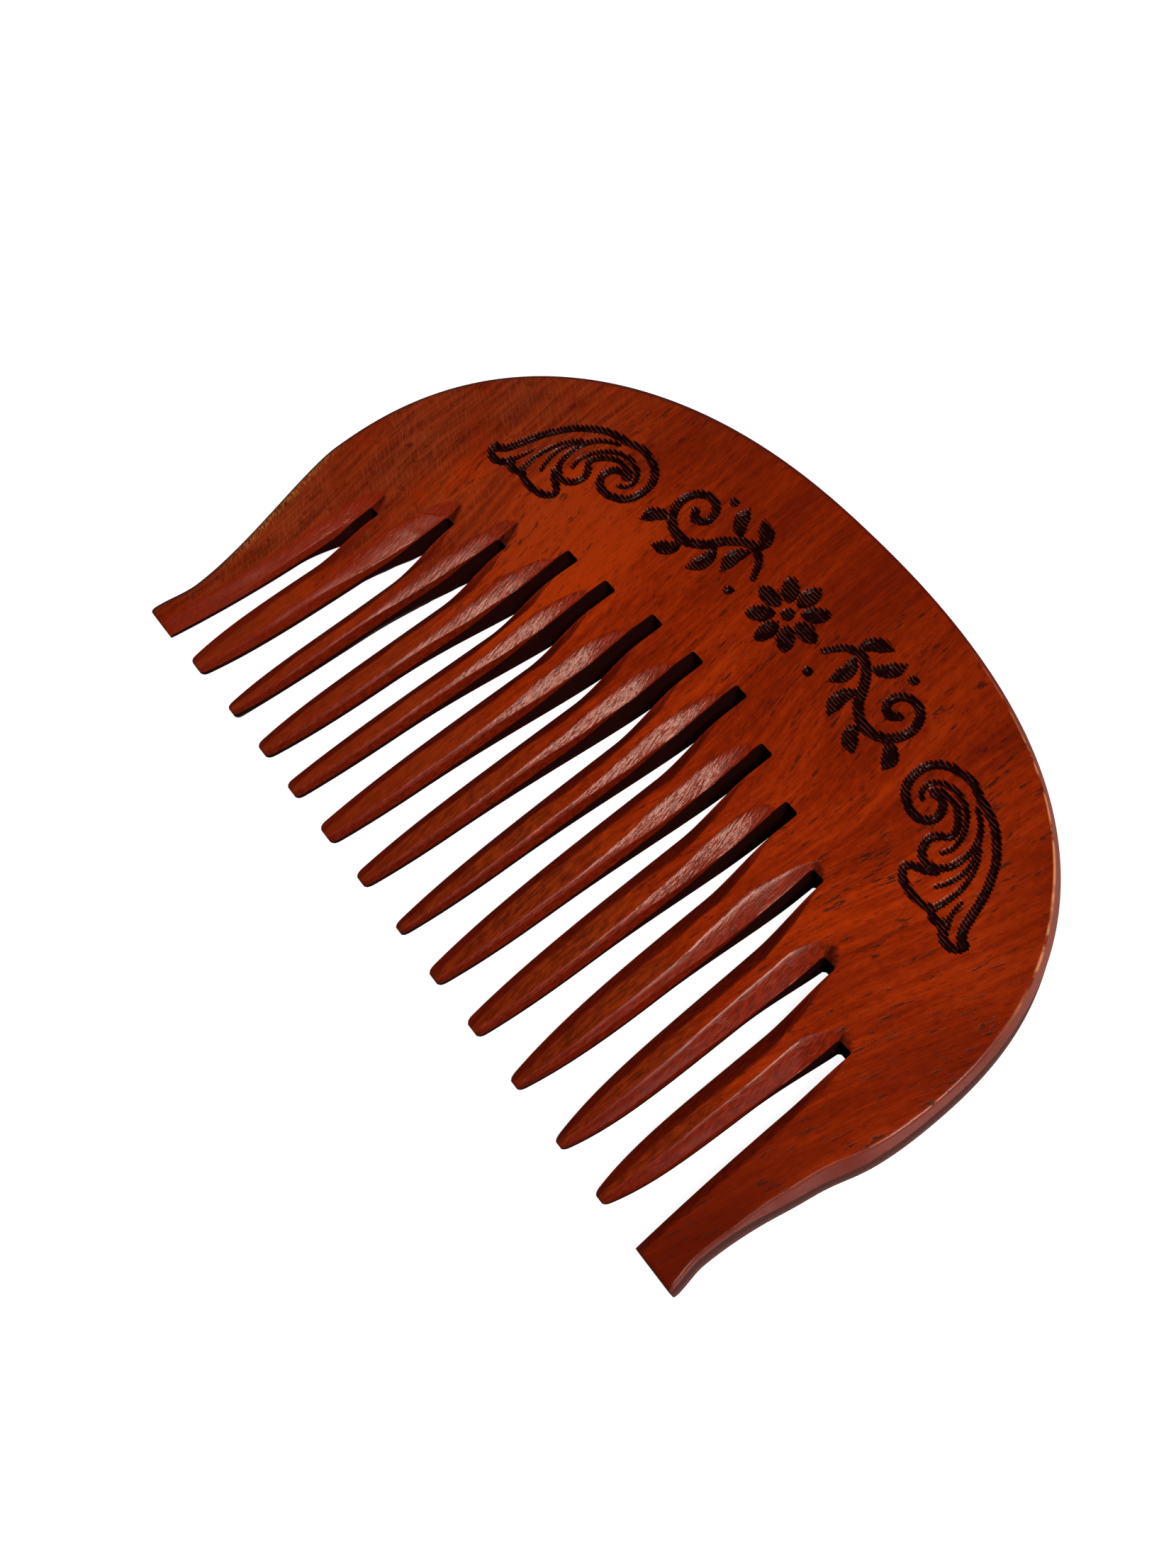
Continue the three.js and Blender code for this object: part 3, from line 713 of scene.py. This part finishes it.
def guard_sheet(side):
    """A guard tooth on a grid from its outer edge to the saw cut: broken edge outside, a filed run inside."""
    v = length_row
    kerf = 0 if side < 0 else 12
    cut_edge = kerf_left[0] if side < 0 else kerf_right[12]
    inner_foot = side * (side_edge(0.0, side) - foot_widths[side])
    outer_y = v * guard_root
    outer_x = side * side_edge(outer_y, side)
    inner_x = inner_foot + (cut_edge - inner_foot) * swell(guard_fullness)
    keel = guard_thinning * (1 - v) ** 2
    crest = thickness - keel
    below = kerf_end[kerf] * (1 - v)
    started = below + file_start[kerf] - kerf_end[kerf]
    break_start, break_end = broken_edge_columns
    if side < 0:
        reach = flank_reach(started, kerf) * (1 - 0.2 * ease(below / 6))
        ridge = inner_x - reach
        easy_end = inner_x - reach * np.interp(below, (0, 1, 4), (0.015, 0.015, 0.16))
        x = across_lines(outer_x, outer_x + break_start, outer_x + break_end, ridge, easy_end, inner_x)
        inner_height = crest + (guard_cut_level[side] - crest) * ease(started / 8)
        inner_height = np.minimum(inner_height, crest - run_slope(started, kerf) * reach)
        fall, filed, strokes = right_flank(x, ridge, easy_end, inner_x, crest, inner_height, started, kerf)
    else:
        bevel_end = inner_x + np.interp(below, guard_bevel_stations, guard_bevel_widths)
        x = across_lines(inner_x, bevel_end, outer_x - break_end, outer_x - break_start, outer_x)
        edge_fall = (crest - guard_cut_level[side]) * ease(below / 8)
        fall, filed, strokes = left_flank(x, inner_x, bevel_end, bevel_end + 1.0, edge_fall, 0.0)
    f = (x - outer_x) / (inner_x - outer_x)
    y = outer_y + (v * (kerf_end[kerf] - kerf_corner * f**corner_power) - outer_y) * f
    drop = edge_drop(x, y)
    upper = crest - drop - fall
    rise = ease((below - under_lag[kerf]) / guard_under_run)
    inner_run = 1 - np.abs(x - inner_x) / (least_under_flank + guard_under_width * rise)
    lower = keel + drop + (guard_under_level - keel) * rise * ridge_fall(inner_run)
    end_turn = rounded_end(guard_round)
    middle = (upper + lower) / 2
    upper = middle + (upper - middle) * (0.72 + 0.28 * end_turn)
    lower = middle + (lower - middle) * (0.72 + 0.28 * end_turn)
    return x, y, upper, lower, filed, strokes, 0 * x, 0 * x, edge_mark(x, y)


def root_sheet(x, y, side=0, torn_and_shade=0.0):
    """The strip from a root line up to the seam: straight up, or along the board's edge on a guard tooth."""
    top_x = x
    if side:
        pole_x, pole_y = pole(side)
        outer_y = guard_root + (pole_y - guard_root) * root_row
        share = (x - x[-1]) / (x[0] - x[-1]) if side < 0 else (x - x[0]) / (x[-1] - x[0])
        still = x[-1] if side < 0 else x[0]
        outer_x = side * side_edge(outer_y, side)
        sheet_x = still + (outer_x - still) * share
        top_x = still + (pole_x - still) * share
    else:
        sheet_x = x + 0 * root_row
    sheet_y = y + (seam_height(top_x) - y) * root_row
    drop = edge_drop(sheet_x, sheet_y) if side else 0 * sheet_x
    face = filed_face(sheet_x, sheet_y)
    upper = face - drop
    filed = ease((thickness - face) / scoop_blur)
    # The scoop mark darkens torn wood with painted shade.
    scoop = filed * np.maximum(torn_and_shade, 0.75 * ease((sheet_x - 15) / 8))
    edge = edge_mark(sheet_x, sheet_y)
    return sheet_x, sheet_y, upper, drop, filed, faint_strokes * filed, 0 * sheet_x, scoop, edge


def full_height(sheet, side=0):
    """A tooth's sheet with its root strip stacked on top of it."""
    strip = root_sheet(sheet[0][-1], sheet[1][-1], side)
    return [np.concatenate(pair) for pair in zip(sheet, strip)]


def kerf_strip(kerf):
    """The wood above a saw cut, between its two walls; zeros stand below the cut's end."""
    t = np.sin(np.linspace(-np.pi / 2, np.pi / 2, 13))[1:-1]
    x = kerf_middle[kerf] + t * kerf_width / 2
    inset = np.maximum(np.abs(x - kerf_middle[kerf]) + kerf_corner - kerf_width / 2, 0)
    y = kerf_end[kerf] - kerf_corner + np.sqrt(kerf_corner**2 - inset**2)
    blank = np.zeros((len(length_row) - 1, len(x)))
    face = filed_face(x, y)
    filed = ease((thickness - face) / scoop_blur)
    end_line = x, y, face, 0 * x, filed, faint_strokes * filed, 0 * x, torn_and_shade_share * filed, far_in + 0 * x
    strip = root_sheet(x, y, torn_and_shade=torn_and_shade_share)
    return [np.concatenate([blank, line[None], part]) for line, part in zip(end_line, strip)]


sheets = [full_height(guard_sheet(-1), -1)]
for number in range(12):
    sheets += [kerf_strip(number), full_height(tooth_sheet(number))]
sheets += [kerf_strip(12), full_height(guard_sheet(1), 1)]
sheet_x, sheet_y, upper, lower, *sheet_marks = (np.concatenate(parts, axis=1) for parts in zip(*sheets))
widths = [sheet[0].shape[1] for sheet in sheets]
starts = np.cumsum([0] + widths)
is_wood = np.ones((sheet_x.shape[0] - 1, sheet_x.shape[1] - 1), bool)
for start, end in zip(starts[1:-1:2], starts[2::2]):
    is_wood[:len(length_row) - 1, start - 1:end] = False

upper_index = np.arange(sheet_x.size).reshape(sheet_x.shape)
lower_index = upper_index + sheet_x.size


def wall(first, second, edge_cells):
    """Upright faces under the edges from one point of a cell to another, where the cell has no neighbour."""
    a, b = upper_index[first][edge_cells], upper_index[second][edge_cells]
    c, d = lower_index[second][edge_cells], lower_index[first][edge_cells]
    return np.stack([a, b, c, d], -1)


here, next_one = slice(None, -1), slice(1, None)
padded = np.pad(is_wood, 1)
corner = {(i, j): (next_one if i else here, next_one if j else here) for i in (0, 1) for j in (0, 1)}
walls = [
    wall(corner[0, 0], corner[1, 0], is_wood & ~padded[1:-1, :-2]),
    wall(corner[1, 1], corner[0, 1], is_wood & ~padded[1:-1, 2:]),
    wall(corner[0, 1], corner[0, 0], is_wood & ~padded[:-2, 1:-1]),
    wall(corner[1, 0], corner[1, 1], is_wood & ~padded[2:, 1:-1]),
]
cells = is_wood.ravel()
row_faces = np.concatenate([grid_faces(upper_index)[cells], grid_faces(lower_index)[cells][:, ::-1]] + walls)
row_points = np.concatenate([np.stack([sheet_x, sheet_y, height], -1).reshape(-1, 3)
                             for height in (upper, lower)])
used, row_faces = np.unique(row_faces, return_inverse=True)
row_faces = row_faces.reshape(-1, 4)
row_points = row_points[used]
row_marks = {name: np.concatenate([values.ravel()] * 2)[used]
             for name, values in zip(("filed", "strokes", "bare", "scoop", "edge"), sheet_marks)}
row_marks["carved"] = np.full(len(used), -1.0)
wall_middle = row_points[row_faces].mean(axis=1)
wall_height = np.ptp(row_points[row_faces][:, :, 2], axis=1)
outer_margin, least_wall, tip_zone = 0.3, 0.4, 1
face_number = np.arange(len(row_faces))
is_wall = face_number >= 2 * cells.sum()
is_wall &= edge_distance(wall_middle[:, 0], wall_middle[:, 1]) > outer_margin
finish = np.where(is_wall & (wall_height > least_wall), 1, 0)
first_end = 2 * cells.sum() + len(walls[0]) + len(walls[1])
is_end = (face_number >= first_end) & (face_number < first_end + len(walls[2]))
finish[is_end & (wall_middle[:, 1] < tip_zone)] = 2


def sawn_wood(name, darker, lighter):
    """Bare sawn wood, as on the walls of the cuts and the ends of the tips: dull, with fine saw scores."""
    wood = bpy.data.materials.new(name)
    wood.use_nodes = True
    tree = wood.node_tree
    surface = tree.nodes["Principled BSDF"]
    place = tree.nodes.new("ShaderNodeTexCoord").outputs["Object"]
    scored = shader_node(tree, "ShaderNodeMapping", {"Vector": place, "Scale": (300, 300, 2600)}).outputs[0]
    inputs = {"Vector": scored, "Scale": 1.0, "Detail": 4.0}
    score = shader_node(tree, "ShaderNodeTexNoise", inputs).outputs["Fac"]
    tones = shader_node(tree, "ShaderNodeValToRGB", {"Fac": score})
    tones.color_ramp.elements[0].color = (*darker, 1)
    tones.color_ramp.elements[1].color = (*lighter, 1)
    tree.links.new(tones.outputs["Color"], surface.inputs["Base Color"])
    bump = shader_node(tree, "ShaderNodeBump", {"Height": score, "Strength": 0.5, "Distance": 0.04 * MM})
    tree.links.new(bump.outputs[0], surface.inputs["Normal"])
    surface.inputs["Roughness"].default_value = 0.7
    surface.inputs["Specular IOR Level"].default_value = 0.2
    return wood


# The walls of the saw cuts are near black: dark sawn wood with the painted shade of the narrow slots.
cut_wood_and_shade = sawn_wood("sawn_hardwood_and_shade", (0.007, 0.0004, 0.0004), (0.027, 0.0019, 0.0010))
end_grain = sawn_wood("end_grain", (0.030, 0.012, 0.005), (0.110, 0.055, 0.026))
teeth = board_piece("teeth_row", row_points, row_faces, row_marks, [hardwood, cut_wood_and_shade, end_grain], finish)
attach(teeth, "root")
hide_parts("guard_tooth_left", "guard_tooth_right",
            *(f"tooth_{number:02d}" for number in range(1, 13)))

# The comb lies on a pale lit table. Two soft lights make its tones and two more its sheen, and the camera
# stands where the photograph was taken from.
table_size = 3.0
table_glow = 0.93
table_share, table_gloss_share = 0.32, 0.06
room_light = 0.03
lights = {
    "key_light": dict(place=(0.30, 0.07, 0.58), size=0.24, power=4.5, colour=(1, 1, 1), gloss=False),
    "fill_light": dict(place=(-0.30, -0.50, 0.42), size=0.4, power=0.6, colour=(1, 1, 1), gloss=False),
    "sheen_light": dict(place=(0.32, 0.08, 0.54), size=0.12, power=3.0, colour=(1, 0.68, 0.52), gloss=True),
    "edge_light": dict(place=(0.72, 0.08, 0.15), size=0.36, power=1.4, colour=(1, 0.75, 0.7), gloss=True),
}
camera_place = np.array((69.62, -28.97, 159.51)) * MM
camera_right, camera_up = (0.59988, 0.78559, -0.15164), (-0.69599, 0.60585, 0.3854)
camera_back = (0.39464, -0.12566, 0.9102)
focal_length = 39.06

table_mesh = bpy.data.meshes.new("table")
table_corners = np.array([(-1, -1, 0), (1, -1, 0), (1, 1, 0), (-1, 1, 0)]) * table_size / 2
table_mesh.from_pydata(table_corners, [], [(0, 1, 2, 3)])
table = bpy.data.objects.new("table", table_mesh)
bpy.context.collection.objects.link(table)
pale = bpy.data.materials.new("pale_table")
pale.use_nodes = True
matt = pale.node_tree.nodes["Principled BSDF"]
matt.inputs["Roughness"].default_value = 0.9
matt.inputs["Specular IOR Level"].default_value = 0.0
matt.inputs["Emission Color"].default_value = (1, 1, 1, 1)
rays = pale.node_tree.nodes.new("ShaderNodeLightPath").outputs
glow_inputs = {0: rays["Is Camera Ray"], 1: table_glow}
glow = shader_node(pale.node_tree, "ShaderNodeMath", glow_inputs, operation="MULTIPLY")
pale.node_tree.links.new(glow.outputs[0], matt.inputs["Emission Strength"])
share_inputs = {"Value": rays["Is Glossy Ray"], "To Min": table_share, "To Max": table_gloss_share}
pale_share = shader_node(pale.node_tree, "ShaderNodeMapRange", share_inputs)
pale.node_tree.links.new(pale_share.outputs[0], matt.inputs["Base Color"])
table_mesh.materials.append(pale)

for name, light in lights.items():
    lamp = bpy.data.lights.new(name, "AREA")
    lamp.size = light["size"]
    lamp.energy = light["power"]
    lamp.color = light["colour"]
    holder = bpy.data.objects.new(name, lamp)
    holder.visible_glossy = light["gloss"]
    holder.visible_diffuse = not light["gloss"]
    back_axis = np.array(light["place"]) / np.linalg.norm(light["place"])
    right_axis = np.cross((0, 0, 1), back_axis)
    right_axis = right_axis / np.linalg.norm(right_axis)
    turn = np.stack([right_axis, np.cross(back_axis, right_axis), back_axis], axis=1)
    holder.matrix_world = Matrix.Translation(light["place"]) @ Matrix(turn.tolist()).to_4x4()
    bpy.context.collection.objects.link(holder)

world = bpy.data.worlds.new("studio")
world.use_nodes = True
sight = world.node_tree.nodes.new("ShaderNodeLightPath").outputs["Is Camera Ray"]
room_inputs = {"Value": sight, "To Min": room_light, "To Max": 1.0}
room = shader_node(world.node_tree, "ShaderNodeMapRange", room_inputs)
world.node_tree.links.new(room.outputs[0], world.node_tree.nodes["Background"].inputs["Color"])
bpy.context.scene.world = world
bpy.context.scene.view_settings.view_transform = "Standard"

camera = bpy.data.cameras.new("camera")
camera.lens = focal_length
camera.clip_start = 0.01
viewer = bpy.data.objects.new("camera", camera)
camera_turn = Matrix(np.stack([camera_right, camera_up, camera_back], axis=1).tolist()).to_4x4()
viewer.matrix_world = Matrix.Translation(camera_place.tolist()) @ camera_turn
bpy.context.collection.objects.link(viewer)
bpy.context.scene.camera = viewer
